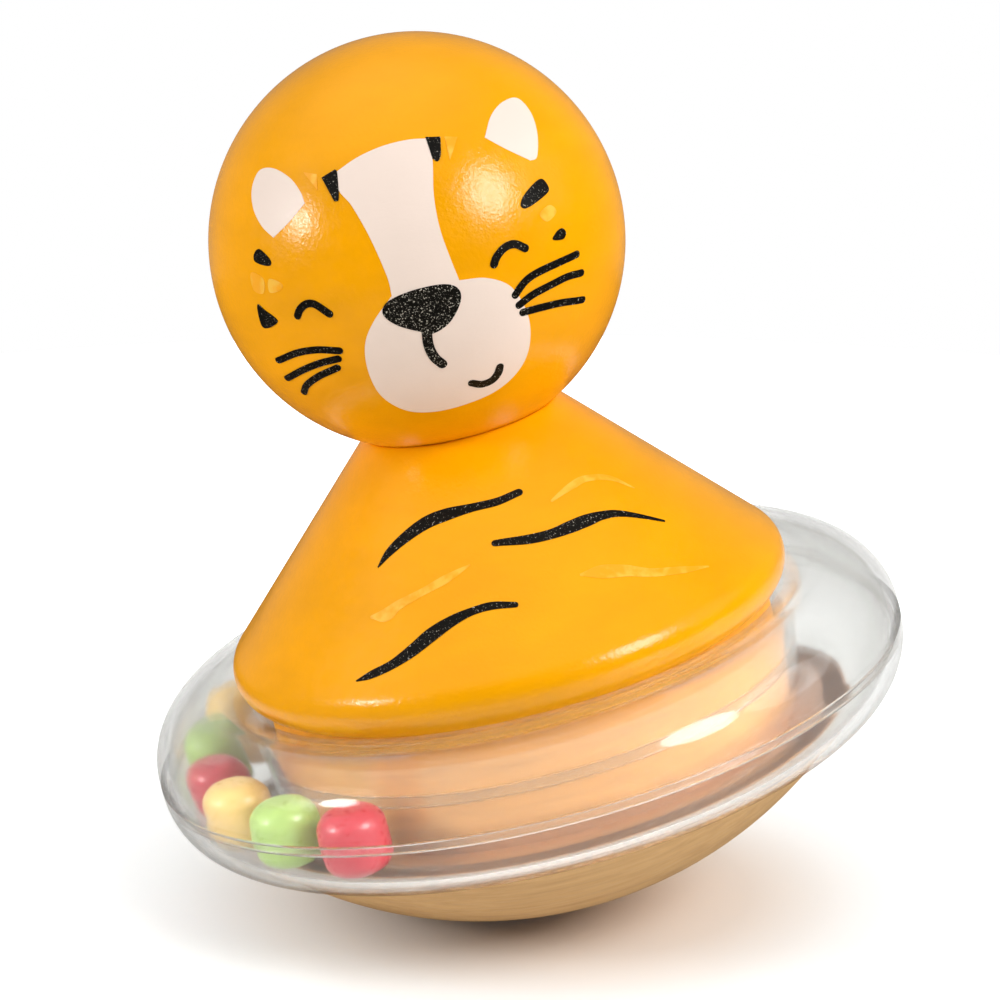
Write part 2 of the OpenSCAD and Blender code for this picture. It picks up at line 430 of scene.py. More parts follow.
def clear_plastic():
    """Clear plastic, paler towards its outline as a painted reflection, that lets the lamps through to what
    lies behind it.
    """
    plastic = (*bpy.context.scene.tiger_colours.plastic, 1)
    material, tree, shader = new_material(
        "clear_plastic", Base_Color=plastic, Roughness=0.07, IOR=1.33, Transmission_Weight=0.98
    )
    bump(tree, shader, noise(tree, 110, (1, 1, 3), detail=1), 0.00006, 0.35)
    # Towards the outline a pale see-through layer is mixed in: a painted reflection standing in for a bright
    # room mirrored at grazing angles
    facing = node(tree, "ShaderNodeLayerWeight", Blend=0.5).outputs["Facing"]
    pale = node(tree, "ShaderNodeBsdfTransparent", Color=(0.99, 0.985, 0.97, 1))
    seen = mixed(tree, spread(tree, facing, 0, 0.75, 0.4, 1.0), shader, pale)
    shadow = node(tree, "ShaderNodeLightPath").outputs["Is Shadow Ray"]
    cast = node(tree, "ShaderNodeBsdfTransparent", Color=(0.93, 0.93, 0.92, 1))
    surface = mixed(tree, shadow, seen, cast)
    tree.links.new(surface.outputs[0], tree.nodes["Material Output"].inputs["Surface"])
    return material


def bead_plastic(name, base):
    """Glossy coloured plastic of a bead."""
    material, tree, shader = new_material(name, IOR=1.5, Coat_Weight=0.2, Coat_Roughness=0.1)
    patchy = spread(tree, noise(tree, 250), 0, 1)
    feed(
        shader,
        Base_Color=tint(tree, patchy, shade(base, 0.97), shade(base, 1.03)),
        Roughness=spread(tree, noise(tree, 900), 0.26, 0.36),
    )
    bump(tree, shader, noise(tree, 400), 0.00003, 0.3)
    return material


def white_ink():
    """Flat pinkish white ink that takes the marks of the wood below."""
    base = tuple(bpy.context.scene.tiger_colours.white_ink)
    material, tree, shader = new_material("white_ink", IOR=1.45)
    patchy = spread(tree, noise(tree, 120), 0, 1)
    feed(
        shader,
        Base_Color=tint(tree, patchy, shade(base, 0.98), base),
        Roughness=spread(tree, noise(tree, 500, (1, 1, 4)), 0.36, 0.48),
    )
    bump(tree, shader, turned_height(tree), 0.00004, 0.5)
    return material


def black_ink():
    """Black ink with a grainy skin and fine pale flecks of painted glint, which are crowded more thickly on
    the nose.
    """
    base = tuple(bpy.context.scene.tiger_colours.black_ink)
    material, tree, shader = new_material("black_ink", IOR=1.5, Specular_IOR_Level=0.12)
    grain = noise(tree, 4600, detail=2, roughness=0.7)
    nose = Vector((-0.0005, HEAD_LOW.y, HEAD_Z - 0.003))
    away = node(tree, "ShaderNodeVectorMath", settings={"operation": "DISTANCE"})
    tree.links.new(node(tree, "ShaderNodeTexCoord").outputs["Object"], away.inputs[0])
    away.inputs[1].default_value = nose
    # Pale flecks mixed into the ink's colour are painted glints of light on its grainy skin, with more of
    # them painted on the nose
    nose_glint_mask = spread(tree, away.outputs["Value"], 0.05, 0, 0.006, 0.009)
    painted_glint_specks = spread(tree, math_node(tree, "ADD", grain, nose_glint_mask), 0, 1, 0.635, 0.72)
    feed(
        shader,
        Base_Color=tint(tree, painted_glint_specks, shade(base, 0.7), (0.6, 0.56, 0.47)),
        Roughness=spread(tree, noise(tree, 1500), 0.3, 0.45),
    )
    bump(tree, shader, grain, 0.00008, 0.5)
    return material


def gold_ink():
    """Thin gold ink, rubbed through to the paint in spots; its pale gold is painted sheen that stands in for
    the shine of metal ink.
    """
    colours = bpy.context.scene.tiger_colours
    material, tree, shader = new_material("gold_ink", IOR=1.5)
    flakes = noise(tree, 2600, detail=2, roughness=0.7)
    # The patches of pale gold are partly wear and partly painted sheen, where metal ink would catch the
    # light
    worn_and_sheen = spread(tree, noise(tree, 600, detail=4), 0, 1, 0.42, 0.58)
    feed(
        shader,
        Base_Color=tint(tree, worn_and_sheen, colours.paint, colours.gold_ink),
        Roughness=spread(tree, noise(tree, 1200), 0.3, 0.45),
    )
    bump(tree, shader, flakes, 0.00005, 0.5)
    return material


def steel():
    """Turned steel of the ballast weight."""
    base = tuple(bpy.context.scene.tiger_colours.steel)
    material, tree, shader = new_material("steel", Metallic=1.0)
    marks = noise(tree, 600, (1, 1, 5))
    feed(
        shader,
        Base_Color=tint(tree, spread(tree, marks, 0, 1), shade(base, 0.9), shade(base, 1.05)),
        Roughness=spread(tree, marks, 0.3, 0.45),
    )
    bump(tree, shader, marks, 0.00003, 0.4)
    return material


MATERIAL_MAKERS = {
    "painted_wood": painted_wood,
    "bare_wood": bare_wood,
    "clear_plastic": clear_plastic,
    "white_ink": white_ink,
    "black_ink": black_ink,
    "gold_ink": gold_ink,
    "steel": steel,
}


def finish_of(name):
    """The material of that name, made when it is first asked for."""
    made = bpy.data.materials.get(name + "_finish")
    if made is None:
        if name in MATERIAL_MAKERS:
            made = MATERIAL_MAKERS[name]()
        else:
            made = bead_plastic(name, tuple(getattr(bpy.context.scene.tiger_colours, name.split("_")[0])))
        made.name = name + "_finish"
    return made


# Turned wood

# Rows of points up the body's flank
FLANK_ROWS = 24
# Place of a ring of points in the body's flat underside, as a share of the way out
UNDERSIDE_RING = 0.7
# Inset of the neck's broken edge, as a share of its radius
NECK_INSET = 0.4
# Angle at which the broken edge of the ledge starts, about where the dome's slope ends
LEDGE_START = radians(-20)
# Hidden pieces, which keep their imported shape, and their finishes
HIDDEN_FINISHES = {"centre_dowel": "bare_wood", "base_plug": "bare_wood", "ballast_weight": "steel"}


class TIGER_OT_head(bpy.types.Operator):
    """Turn the ball head with its flat at the neck"""

    bl_idname = "tiger.head"
    bl_label = "Head"

    def execute(self, context):
        flat = asin((HEAD_LOW.z - HEAD_Z) / HEAD_RADIUS)
        profile = [(0, HEAD_LOW.z)] + arc((0, HEAD_Z), HEAD_RADIUS, flat, pi / 2)
        profile[-1] = (0, HEAD_HIGH.z)
        turn_piece("head_ball", profile, "toy", "painted_wood", "head")
        return {"FINISHED"}


class BodyShape:
    """The body's cone: a straight flank between the neck and a rounded lower edge."""

    def __init__(self, sizes):
        self.low = BODY_LOW.z
        self.high = BODY_HIGH.z
        self.neck = sizes.neck_radius
        self.edge = sizes.body_edge
        self.edge_middle = (BODY_HIGH.x - self.edge, self.low + self.edge)
        across = self.edge_middle[0] - self.neck
        down = self.high - self.edge_middle[1]
        # The flank is the tangent from the neck to the edge's circle
        self.half_angle = atan2(across, down) + asin(self.edge / hypot(across, down))
        normal = (cos(self.half_angle), sin(self.half_angle))
        self.flank_low = (
            self.edge_middle[0] + self.edge * normal[0],
            self.edge_middle[1] + self.edge * normal[1],
        )
        self.apex = self.high + self.neck * cos(self.half_angle) / sin(self.half_angle)
        self.slant = self.flank_low[0] / sin(self.half_angle)


class TIGER_OT_body(bpy.types.Operator):
    """Turn the cone body with its rounded lower edge"""

    bl_idname = "tiger.body"
    bl_label = "Body"

    def execute(self, context):
        sizes = context.scene.tiger_sizes
        shape = BodyShape(sizes)
        soft = sizes.neck_edge
        ends = list(zip(shape.flank_low, (shape.neck, shape.high)))
        flank = [tuple(a + (b - a) * i / FLANK_ROWS for a, b in ends) for i in range(FLANK_ROWS)]
        corner = (shape.neck - soft * NECK_INSET, shape.high - soft)
        profile = [(0, shape.low), (shape.edge_middle[0] * UNDERSIDE_RING, shape.low)]
        profile += arc(shape.edge_middle, shape.edge, -pi / 2, shape.half_angle, step=radians(5))
        profile += flank
        profile += arc(corner, soft, shape.half_angle, pi / 2, step=radians(10))
        profile += [(0, shape.high)]
        turn_piece("body_turned", profile, "toy", "painted_wood", "body_cone")
        return {"FINISHED"}


def dome_ball(sizes):
    """Height of the middle of the ball that the dome is part of, and the ball's radius."""
    height, foot = sizes.ledge_height, sizes.foot_radius
    middle = (BASE_HIGH.x**2 + height**2 - foot**2) / (2 * height)
    return middle, hypot(foot, middle)


class TIGER_OT_base(bpy.types.Operator):
    """Turn the bare dome with its ledge and hub, and finish the hidden pieces"""

    bl_idname = "tiger.base"
    bl_label = "Base"

    def execute(self, context):
        sizes = context.scene.tiger_sizes
        ledge_radius = BASE_HIGH.x
        height, soft = sizes.ledge_height, sizes.ledge_edge
        middle, radius = dome_ball(sizes)
        start = -atan2(middle, sizes.foot_radius)
        end = -atan2(middle - height, ledge_radius)
        profile = [(0, 0)] + arc((0, middle), radius, start, end - soft / radius, step=radians(1))
        profile += arc((ledge_radius - soft, height - soft), soft, LEDGE_START, pi / 2, step=radians(15))
        profile += [(sizes.hub_radius, height), (sizes.hub_radius, BASE_HIGH.z), (0, BASE_HIGH.z)]
        turn_piece("base_turned", profile, "toy", "bare_wood", "base")
        for name, finish in HIDDEN_FINISHES.items():
            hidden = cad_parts[name]
            hidden.data.materials.clear()
            hidden.data.materials.append(finish_of(finish))
        return {"FINISHED"}


# Clear ring

def ring_outline(sizes, inset):
    """The ring's section at a depth in its wall: the runs below and above the seam, and its height."""
    outer = RING_HIGH.x
    half = (RING_HIGH.z - RING_LOW.z) / 2
    seam = RING_LOW.z + half
    rim = half - sizes.seam_band / 2
    rim_at = outer - rim
    low = (rim_at, seam - sizes.seam_band / 2)
    high = (rim_at, seam + sizes.seam_band / 2)
    foot = (sizes.ring_bore + sizes.ring_foot, RING_LOW.z + sizes.ring_foot)
    shoulder = (sizes.ring_bore + sizes.ring_shoulder, RING_HIGH.z - sizes.ring_shoulder)
    fine = radians(3)
    lower = arc(low, rim - inset, 0, -pi / 2, fine)
    lower += arc(foot, sizes.ring_foot - inset, -pi / 2, -pi, fine)
    upper = arc(shoulder, sizes.ring_shoulder - inset, pi, pi / 2, fine)
    upper += arc(high, rim - inset, pi / 2, 0, fine)
    return lower, upper, seam


class TIGER_OT_ring(bpy.types.Operator):
    """Turn the two clear shells of the ring, with the lap in which they are welded"""

    bl_idname = "tiger.ring"
    bl_label = "Ring"

    def execute(self, context):
        sizes = context.scene.tiger_sizes
        wall, gap = sizes.ring_wall, sizes.lap_gap
        low_out, high_out, seam = ring_outline(sizes, 0)
        low_in, high_in, _ = ring_outline(sizes, wall)
        tip = seam - sizes.lap_height
        tongue = wall - sizes.lap_thickness
        groove = tongue - gap
        outer, bore = RING_HIGH.x, sizes.ring_bore
        top, floor = seam - gap, tip - gap
        lower = [(outer, top)] + low_out
        lower += [(bore, top), (bore + groove, top), (bore + groove, floor), (bore + wall, floor)]
        lower += [place for place in low_in[::-1] if place[1] < floor]
        lower += [(outer - wall, floor), (outer - groove, floor), (outer - groove, top), (outer, top)]
        upper = [(bore, seam)] + high_out
        upper += [(outer, seam), (outer - tongue, seam), (outer - tongue, tip), (outer - wall, tip)]
        upper += high_in[::-1]
        upper += [(bore + wall, tip), (bore + tongue, tip), (bore + tongue, seam), (bore, seam)]
        turn_piece("ring_lower", lower, "toy", "clear_plastic", "ring_lower_shell")
        turn_piece("ring_upper", upper, "toy", "clear_plastic", "ring_upper_shell")
        return {"FINISHED"}


# Beads

BEADS = (
    "red_bead_front",
    "green_bead_front",
    "yellow_bead_front",
    "red_bead_rear",
    "green_bead_rear",
    "yellow_bead_rear",
)


class TIGER_OT_beads(bpy.types.Operator):
    """Turn the six loose beads and lay them where the frame has them"""

    bl_idname = "tiger.beads"
    bl_label = "Beads"

    def execute(self, context):
        edge = context.scene.tiger_sizes.bead_edge
        low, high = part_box("red_bead_front")
        radius, half = (high.x - low.x) / 2, (high.z - low.z) / 2
        fine = radians(6)
        profile = [(0, -half)] + arc((radius - edge, edge - half), edge, -pi / 2, 0, fine)
        profile += arc((radius - edge, half - edge), edge, 0, pi / 2, fine) + [(0, half)]
        for name in BEADS:
            low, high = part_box(name)
            middle = (low + high) / 2
            outward = Matrix.Rotation(atan2(middle.y, middle.x), 4, "Z")
            place = Matrix.Translation(middle) @ outward
            slot = "_".join(name.split("_")[:2])
            turn_piece(name + "_turned", profile, name, slot, name, place)
        return {"FINISHED"}


# Printed face and stripes

# Distance between points along an outline and within it, in millimetres
OUTLINE_STEP = 0.2
FILL_STEP = 0.8
# Least width of a brush stroke, and that of the fine lines of the face, in millimetres
LEAST_WIDTH = 0.06
FINE_WIDTH = 0.95
# Steps round the end of a brush stroke
CAP_STEPS = 8
# How the fill keeps to its outline: only triangles within it, and points joined when nearer than this
FILL_INSIDE = 1
FILL_MERGE = 1e-5
# Coats of ink, so that black lies over white
ONE_COAT = 1
TWO_COATS = 2


def beyond(end, inner):
    """The point as far past an end as an inner point is short of it."""
    return tuple(2 * a - b for a, b in zip(end, inner))


def smooth_run(points):
    """Points close together along a smooth curve through the points given."""
    return smooth_between([beyond(points[0], points[1]), *points, beyond(points[-1], points[-2])])


def smooth_between(points):
    """A Catmull-Rom curve from the second point to the last but one."""
    made = []
    for before, start, end, after in zip(points, points[1:], points[2:], points[3:]):
        count = max(1, ceil(hypot(end[0] - start[0], end[1] - start[1]) / OUTLINE_STEP))
        for i in range(count):
            t = i / count
            made.append(tuple(
                0.5 * (
                    2 * b + (c - a) * t
                    + (2 * a - 5 * b + 4 * c - d) * t**2
                    + (3 * b - a - 3 * c + d) * t**3
                )
                for a, b, c, d in zip(before, start, end, after)
            ))
    made.append(tuple(points[-2]))
    return made


def patch(*runs):
    """A closed outline made of smooth runs, with a corner where one run meets the next."""
    outline = []
    for run in runs:
        outline += smooth_run(run)[:-1]
    return outline


def blob(points):
    """A closed outline that is smooth all round."""
    return smooth_between([points[-1], *points, points[0], points[1]])[:-1]


def stroke(points, widths):
    """Outline of a brush stroke along a curve, with a width at each point and round ends."""
    line = smooth_run([(*point, width) for point, width in zip(points, widths)])
    left, right, headings = [], [], []
    for i, (u, v, width) in enumerate(line):
        before, after = line[max(0, i - 1)], line[min(len(line) - 1, i + 1)]
        heading = atan2(after[1] - before[1], after[0] - before[0])
        headings.append(heading)
        half = max(width, LEAST_WIDTH) / 2
        left.append((u - half * sin(heading), v + half * cos(heading)))
        right.append((u + half * sin(heading), v - half * cos(heading)))

    def cap(end, heading):
        u, v, width = end
        half = max(width, LEAST_WIDTH) / 2
        turns = [heading + pi * i / CAP_STEPS for i in range(1, CAP_STEPS)]
        return [(u + half * cos(turn), v + half * sin(turn)) for turn in turns]

    start_cap = cap(line[0], headings[0] + pi / 2)
    end_cap = cap(line[-1], headings[-1] - pi / 2)
    return right + end_cap + left[::-1] + start_cap


def fine_stroke(points):
    """Outline of a fine line of even width."""
    return stroke(points, [FINE_WIDTH] * len(points))


def inside(point, outline):
    """Whether a point lies within an outline."""
    u, v = point
    crossings = 0
    for (a, b), (c, d) in zip(outline, outline[1:] + outline[:1]):
        if (b > v) != (d > v) and u < a + (v - b) * (c - a) / (d - b):
            crossings += 1
    return crossings % 2 == 1


def filled(outline):
    """Triangles that fill an outline, fine enough to follow a round surface."""
    border = [Vector(point) for point in outline]
    spots = list(border)
    low = [min(p[k] for p in outline) for k in (0, 1)]
    high = [max(p[k] for p in outline) for k in (0, 1)]
    for i in range(1, int((high[0] - low[0]) / FILL_STEP) + 1):
        for j in range(1, int((high[1] - low[1]) / FILL_STEP) + 1):
            spot = Vector((low[0] + i * FILL_STEP, low[1] + j * FILL_STEP))
            if inside(spot, outline) and min((spot - b).length for b in border) > FILL_STEP / 3:
                spots.append(spot)
    ring = list(range(len(border)))
    points, _, faces, *_ = delaunay_2d_cdt(spots, [], [ring], FILL_INSIDE, FILL_MERGE)
    return points, faces


def lay_ink(name, outlines, surface, coats, ink):
    """Lay a thin closed coat of ink for each outline on a surface that maps chart and lift to a point."""
    sizes = bpy.context.scene.tiger_sizes
    work = bmesh.new()
    for outline in outlines:
        points, faces = filled(outline)
        top = [work.verts.new(surface(u, v, sizes.ink_thickness * coats)) for u, v in points]
        bottom = [work.verts.new(surface(u, v, -sizes.ink_sink)) for u, v in points]
        sides = {}
        for face in faces:
            work.faces.new([top[i] for i in face])
            work.faces.new([bottom[i] for i in reversed(face)])
            for a, b in zip(face, face[1:] + face[:1]):
                if (b, a) in sides:
                    del sides[b, a]
                else:
                    sides[a, b] = True
        for a, b in sides:
            work.faces.new([top[b], top[a], bottom[a], bottom[b]])
    mesh = bpy.data.meshes.new(name)
    work.to_mesh(mesh)
    work.free()
    face_outward(mesh)
    settle(new_object(name, mesh, finish_of(ink)), "toy", ink)


def head_surface(u, v, lift):
    """A point on the head, by arcs in millimetres to the right of and above the middle of its front."""
    # At the middle itself any distance will do that isn't 0
    away = hypot(u, v) or 1e-9
    turn = away * MM / HEAD_RADIUS
    normal = Vector((sin(turn) * u / away, -cos(turn), sin(turn) * v / away))
    return Vector((0, 0, HEAD_Z)) + normal * (HEAD_RADIUS + lift)


def body_surface(u, v, lift):
    """A point on the body's flank, by a flat pattern in millimetres wrapped round it from the front."""
    shape = BodyShape(bpy.context.scene.tiger_sizes)
    down = shape.slant - v * MM
    slant = hypot(u * MM, down)
    bearing = atan2(u * MM, down) / sin(shape.half_angle)
    radial = Vector((sin(bearing), -cos(bearing), 0))
    normal = radial * cos(shape.half_angle) + Vector((0, 0, sin(shape.half_angle)))
    height = Vector((0, 0, shape.apex - slant * cos(shape.half_angle)))
    return radial * slant * sin(shape.half_angle) + height + normal * lift


class TIGER_OT_face_white(bpy.types.Operator):
    """Print the white ears, blaze and muzzle"""

    bl_idname = "tiger.face_white"
    bl_label = "White of the face"

    def execute(self, context):
        left_ear = patch(
            [(-17.6, 9), (-19.3, 10.8), (-20.5, 13.4), (-20.5, 16.2), (-19, 18.3),
             (-16.5, 18), (-14, 16.1), (-12.7, 14), (-12.3, 12.4)],
            [(-12.3, 12.4), (-14.8, 10.6), (-17.6, 9)],
        )
        right_ear = patch(
            [(11.5, 15), (13.8, 12.9), (16.6, 10.7)],
            [(16.6, 10.7), (17.8, 11), (19.3, 14), (19.8, 17.2),
             (18.7, 19.6), (16, 19.3), (13.5, 17.7), (11.5, 15)],
        )
        muzzle = patch(
            [(-7.4, 15.3), (-4.5, 16.4), (-1.2, 17), (2, 17), (4.3, 16.6)],
            [(4.3, 16.6), (4.3, 14.1), (3.3, 9.8), (3, 6), (3.3, 2.5), (3.7, -0.4)],
            [(3.7, -0.4), (6.9, -1.1), (9.6, -3.2), (10.9, -7.5), (10.4, -11.7),
             (8.6, -14.7), (5.5, -16.7), (1.5, -17.5), (-3, -17.6), (-6.4, -16.5),
             (-8.8, -13.5), (-9.4, -9.5), (-8.8, -5.7), (-7, -2.9), (-4.2, -0.3)],
            [(-4.2, -0.3), (-4.2, 2.1), (-5.1, 6.8), (-6.4, 10.8), (-7.6, 13), (-7.4, 15.3)],
        )
        lay_ink("ear_prints", [left_ear, right_ear], head_surface, ONE_COAT, "white_ink")
        lay_ink("muzzle_print", [muzzle], head_surface, ONE_COAT, "white_ink")
        return {"FINISHED"}


class TIGER_OT_face_black(bpy.types.Operator):
    """Print the black nose, mouth, closed eyes, whiskers and small marks"""

    bl_idname = "tiger.face_black"
    bl_label = "Black of the face"

    def execute(self, context):
        nose = [
            (-5.7, -2.3), (-4.4, -3.9), (-1.9, -5.3), (-0.5, -5.8), (1.6, -4.9),
            (3.3, -2.8), (3.3, -1.2), (1.6, -0.3), (-1.9, -0.2), (-4.9, -0.9),
        ]
        lip = stroke([(-1.3, -5.2), (-1.5, -7.2), (-1.2, -8.9), (-0.5, -10.1)], [1.2] * 4)
        smile = stroke(
            [(2.4, -14.1), (3.6, -14.8), (4.9, -14.7), (5.8, -13.9), (6.2, -13)],
            [1, 1.1, 1.1, 1.1, 1],
        )
        eyes = [
            [(8.1, 0.2), (8.7, 1), (9.9, 1.7), (11.2, 1.7), (12.4, 0.8)],
            [(-16.5, -1.1), (-15.9, -0.3), (-14.9, 0.3), (-13.7, 0.2), (-12.1, -1.2)],
        ]
        whiskers = [
            [(9.8, -4.2), (11.3, -3.1), (13.1, -2.6), (16.3, -2.5), (19.6, -2.6)],
            [(10, -5.6), (12.1, -5), (14.8, -4.8), (17.4, -4.8), (19.8, -5.3)],
            [(10.3, -6.7), (12.9, -7.1), (15.9, -7.8), (19.4, -9.1)],
            [(-12.2, -6.1), (-15.2, -5.8), (-18.4, -6.3), (-22.1, -7.8)],
            [(-12.7, -7.2), (-15.5, -7.8), (-18.7, -9.1), (-21.9, -10.9)],
            [(-13.2, -8.5), (-16.2, -9.8), (-18.7, -11.5), (-20, -13.2)],
        ]
        brow_marks = [
            [
                [(-9.5, 15), (-7.6, 15.6)],
                [(-7.6, 15.6), (-7.4, 15), (-7.8, 12), (-8.4, 11.8)],
                [(-8.4, 11.8), (-9.5, 15)],
            ],
            [
                [(4.2, 16.8), (6, 16.4)],
                [(6, 16.4), (5.4, 14.2), (4.8, 13.5), (4.3, 14)],
                [(4.3, 14), (4.2, 16.8)],
            ],
        ]
        cheek_marks = [
            [(13.3, 5.7), (14.2, 5.3), (17.2, 6.1), (17.9, 6.8), (17.3, 8.1), (15.8, 7.8), (13.9, 6.7)],
            [(16.4, 0.6), (17.3, 1.3), (18.2, 1.4), (18.6, 0.7), (18.1, 0.1), (17.2, 0.2)],
            [(-20.4, 7.9), (-21.3, 7.3), (-21.4, 6.4), (-20.2, 5.8),
             (-18.9, 5.6), (-18.7, 6.3), (-19.5, 7.3)],
            [(-22.5, 0.6), (-22.9, -0.8), (-22.8, -2.6), (-21.6, -2.7),
             (-19.9, -1.9), (-20.1, -1.2), (-21.5, -0.2)],
        ]
        groups = {
            "nose_print": [blob(nose), lip],
            "smile_print": [smile],
            "eye_prints": [fine_stroke(points) for points in eyes],
            "whisker_prints": [fine_stroke(points) for points in whiskers],
            "brow_mark_prints": [patch(*runs) for runs in brow_marks],
            "cheek_mark_prints": [blob(points) for points in cheek_marks],
        }
        for name, outlines in groups.items():
            lay_ink(name, outlines, head_surface, TWO_COATS, "black_ink")
        return {"FINISHED"}


class TIGER_OT_face_gold(bpy.types.Operator):
    """Print the small gold marks of the face"""

    bl_idname = "tiger.face_gold"
    bl_label = "Gold of the face"

    def execute(self, context):
        marks = [
            blob([(-22.5, 4.9), (-20.5, 4), (-21, 2.1), (-22.7, 2.6)]),
            blob([(-19.5, 3.9), (-17.6, 3.1), (-18.3, 2.3), (-19.9, 2.2)]),
            patch([(6.5, 16.3), (8.1, 15.9)], [(8.1, 15.9), (6.3, 13.3)], [(6.3, 13.3), (6.5, 16.3)]),
            patch(
                [(-11.9, 16.3), (-10.1, 15.6)],
                [(-10.1, 15.6), (-10.3, 13.6)],
                [(-10.3, 13.6), (-11.9, 16.3)],
            ),
            blob([(15.5, 4.1), (17.3, 4.7), (18, 3.6), (16.3, 2.9)]),
        ]
        lay_ink("face_gold_prints", marks, head_surface, ONE_COAT, "gold_ink")
        return {"FINISHED"}


class TIGER_OT_stripes(bpy.types.Operator):
    """Print the black and gold brush strokes on the body"""

    bl_idname = "tiger.stripes"
    bl_label = "Stripes"

    def execute(self, context):
        black = [
            stroke(
                [(-14.1, 19.3), (-12.3, 20.5), (-9.7, 21.5), (-6.9, 22.2),
                 (-4.3, 22.3), (-1.3, 22.2), (1.8, 22.2), (4.6, 22.9)],
                [0.2, 1.1, 1.5, 1.7, 1.6, 1.1, 1, 0.9],
            ),
            stroke(
                [(0.4, 16.9), (4.1, 16.5), (7.1, 16.7), (9.7, 17.4),
                 (11.8, 18.1), (13.8, 18.7), (16.5, 19), (22, 18.3)],
                [0.8, 1.2, 1.3, 1.6, 1.6, 1.2, 0.9, 0.3],
            ),
            stroke(
                [(-19.7, 6.1), (-17.7, 6), (-14.9, 6.1), (-12.1, 6.8), (-9.3, 7.9),
                 (-6.6, 8.7), (-4.1, 9.1), (-1.7, 9.1), (1, 8.5)],
                [0.2, 1, 1.2, 1.6, 1.8, 1.4, 1, 1, 0.7],
            ),
        ]
        gold = [
            stroke(
                [(-16.2, 13.3), (-14.3, 12.7), (-12.5, 13.2), (-9.4, 13.6), (-6.1, 14.2), (-3.1, 15)],
                [0.4, 1.8, 1.3, 1, 1.1, 0.2],
            ),
            stroke(
                [(8.2, 21.2), (11.1, 23.1), (13.3, 24.2), (16.6, 24.5), (19.5, 23.3)],
                [0.3, 0.9, 0.9, 0.8, 0.2],
            ),
            stroke(
                [(9.4, 10.8), (11.9, 10.9), (14.9, 10.8), (18, 10.4), (22, 10.8), (25.9, 11.6)],
                [0.4, 1.8, 1.6, 1.2, 1, 0.2],
            ),
        ]
        lay_ink("body_stripe_prints", black, body_surface, TWO_COATS, "black_ink")
        lay_ink("body_gold_prints", gold, body_surface, ONE_COAT, "gold_ink")
        return {"FINISHED"}


# Stage

# Lamps: direction from the toy, width in metres, and whether the toy mirrors them
LAMPS = {
    "Key": ((0.68, -0.6, 0.43), 0.26, True),
    "Fill": ((-0.85, -0.1, 0.55), 0.4, False),
    "Edge": ((0.93, -0.1, 0.33), 0.4, False),
    "Glint": ((-0.82, -0.32, 0.48), 0.12, True),
}
LAMP_DISTANCE = 0.6
FLOOR_RADIUS = 0.3
FLOOR_SIDES = 64
# The camera's sensor in millimetres, and the least distance that it sees in metres
SENSOR_WIDTH = 36
NEAR_CLIP = 0.01


def aimed(location, back, up):
    """A place and turn for a camera or lamp whose back faces the direction given."""
    back = back.normalized()
    right = up.cross(back).normalized()
    up = back.cross(right)
    turn = Matrix((right, up, back)).transposed().to_4x4()
    return Matrix.Translation(location) @ turn


def soft_lamp(name, watts):
    """A round soft lamp that looks at the toy, with or without its mirror image in the toy."""
    direction, size, mirrored = LAMPS[name]
    data = bpy.data.lights.new(name, "AREA")
    data.shape = "DISK"
    data.size = size
    data.energy = watts
    lamp = bpy.data.objects.new(name, data)
    lamp.visible_glossy = mirrored
    bpy.context.scene.collection.objects.link(lamp)
    back = Vector(direction).normalized()
    middle = Vector((0, 0, (HEAD_HIGH.z + BASE_LOW.z) / 2))
    lamp.matrix_world = aimed(middle + back * LAMP_DISTANCE, back, Vector((0, 0, 1)))


def white_world(sky):
    """Light from all round, brightest from behind and above the toy's left.

    The camera sees it white, the ring lets it through nearly white, and the toy mirrors it as a bright
    ceiling and a dim backdrop.
    """
    world = bpy.data.worlds.new("Studio")
    bpy.context.scene.world = world
    world.use_nodes = True
    tree = world.node_tree
    tree.nodes.clear()
    path = node(tree, "ShaderNodeLightPath").outputs
    way = node(tree, "ShaderNodeTexCoord").outputs["Generated"]
    facing = node(tree, "ShaderNodeVectorMath", settings={"operation": "DOT_PRODUCT"})
    tree.links.new(way, facing.inputs[0])
    facing.inputs[1].default_value = Vector((-0.4, 0.7, 0.6)).normalized()
    room = spread(tree, facing.outputs["Value"], 0.12, 1.0, -0.1, 0.6)
    lit = math_node(tree, "MULTIPLY", room, sky)
    axes = node(tree, "ShaderNodeSeparateXYZ", {"Vector": way}).outputs
    ceiling = spread(tree, axes["Z"], 0.03, 0.8, 0.6, 1.0)
    backdrop = spread(tree, axes["Y"], 0.03, 0.22, 0.2, 0.8)
    mirrored = math_node(tree, "MAXIMUM", ceiling, backdrop)
    links = {"Factor": path["Is Glossy Ray"], "A": lit, "B": mirrored}
    strength = node(tree, "ShaderNodeMix", links).outputs[0]
    for ray, seen in (("Is Transmission Ray", 0.93), ("Is Camera Ray", 1.0)):
        strength = node(tree, "ShaderNodeMix", {"Factor": path[ray], "A": strength}, B=seen).outputs[0]
    background = node(tree, "ShaderNodeBackground", {"Strength": strength}, Color=(1, 1, 1, 1))
    tree.links.new(background.outputs[0], node(tree, "ShaderNodeOutputWorld").inputs[0])


